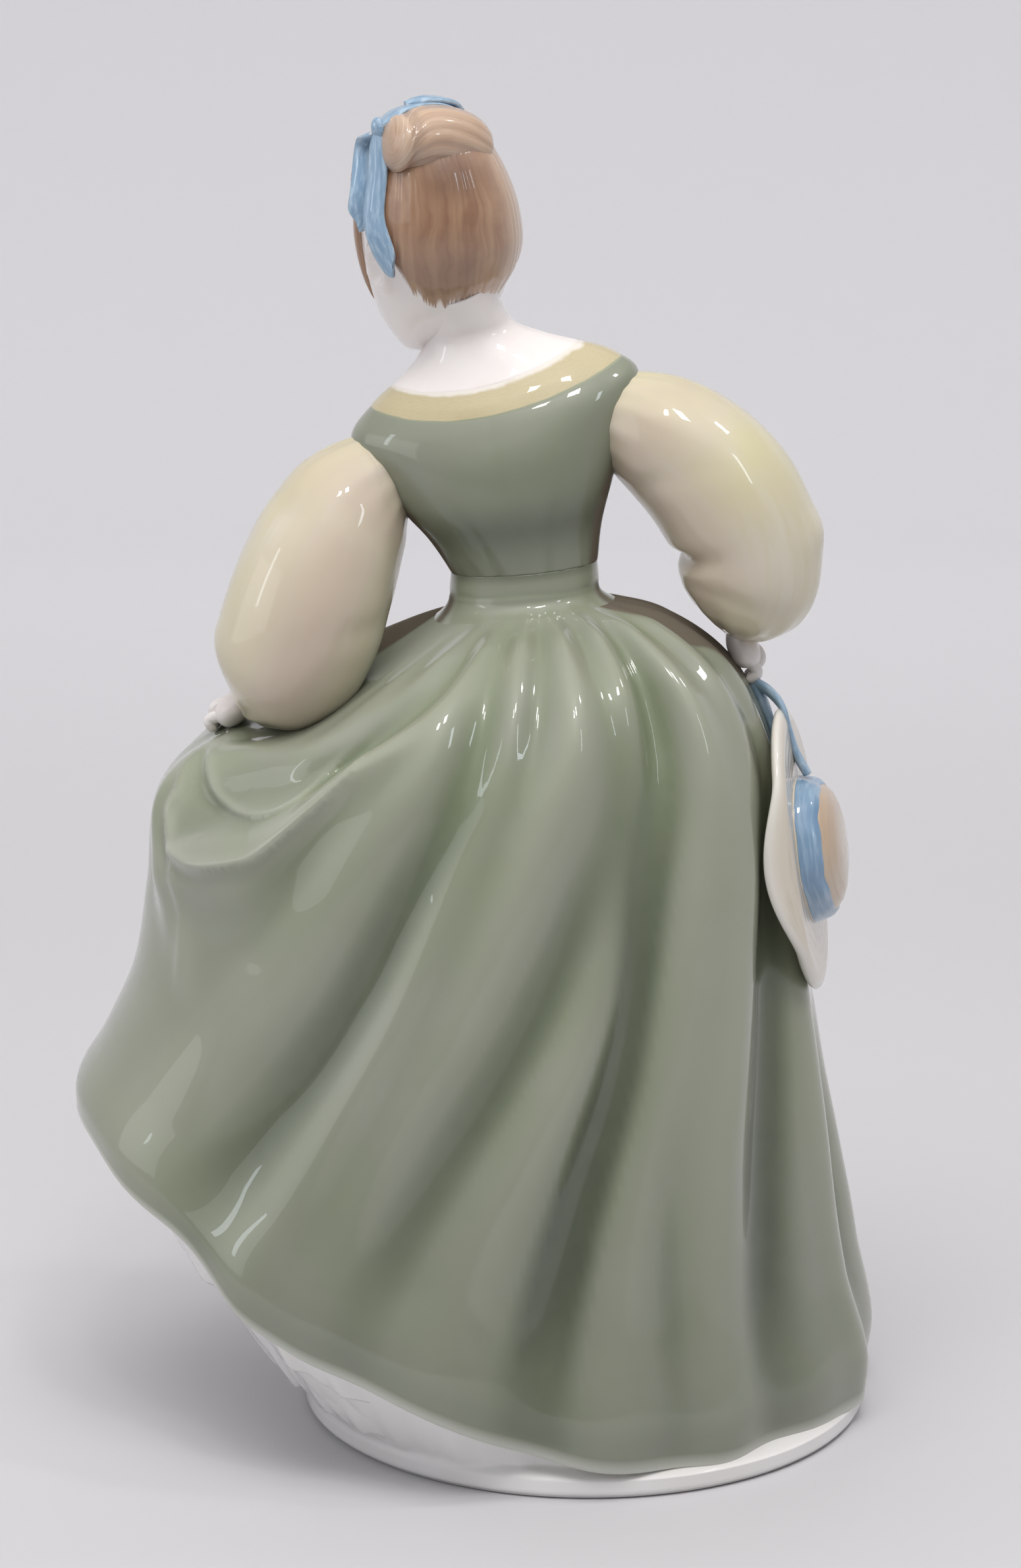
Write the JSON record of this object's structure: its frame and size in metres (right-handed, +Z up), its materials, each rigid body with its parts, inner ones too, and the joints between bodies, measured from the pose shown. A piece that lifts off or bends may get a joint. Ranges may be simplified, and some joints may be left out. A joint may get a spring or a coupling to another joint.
{
  "type": "china figurine",
  "caption": "Standing lady in a full draped dress on a low round base, one hand lifting the skirt and the other holding a bonnet; a glazed china ornament.",
  "frame": {"origin": "centre of the round base, on the plane the foot ring stands on", "axes": "+Z up, +Y the way her body faces, +X to her right, the side of the bonnet; the skirt is lifted on -X"},
  "size_m": [0.1137, 0.0866, 0.1836],
  "materials": {
    "white_china": "gloss glaze",
    "green_glaze": "gloss glaze",
    "yellow_glaze": "gloss glaze",
    "skin_glaze": "gloss glaze",
    "brown_glaze": "gloss glaze",
    "blue_glaze": "gloss glaze",
    "sleeve_glaze": "gloss glaze",
    "straw_glaze": "gloss glaze"
  },
  "bodies": {
    "root": {"base": "white_china", "petticoat": "white_china", "frill_lower": "white_china", "frill_upper": "white_china", "skirt": "green_glaze", "waistband": "green_glaze", "bodice": "green_glaze", "collar": "yellow_glaze", "bust": "skin_glaze", "head": "skin_glaze", "hair": "brown_glaze", "hair_roll": "brown_glaze", "hair_band": "blue_glaze", "ribbon_tail_back": "blue_glaze", "ribbon_tail_front": "blue_glaze", "left_sleeve": "sleeve_glaze", "right_sleeve": "sleeve_glaze", "left_hand": "skin_glaze", "right_hand": "skin_glaze", "bonnet_brim": "straw_glaze", "bonnet_crown": "straw_glaze", "bonnet_band": "blue_glaze", "bonnet_ribbon": "blue_glaze"}
  },
  "joints": []
}
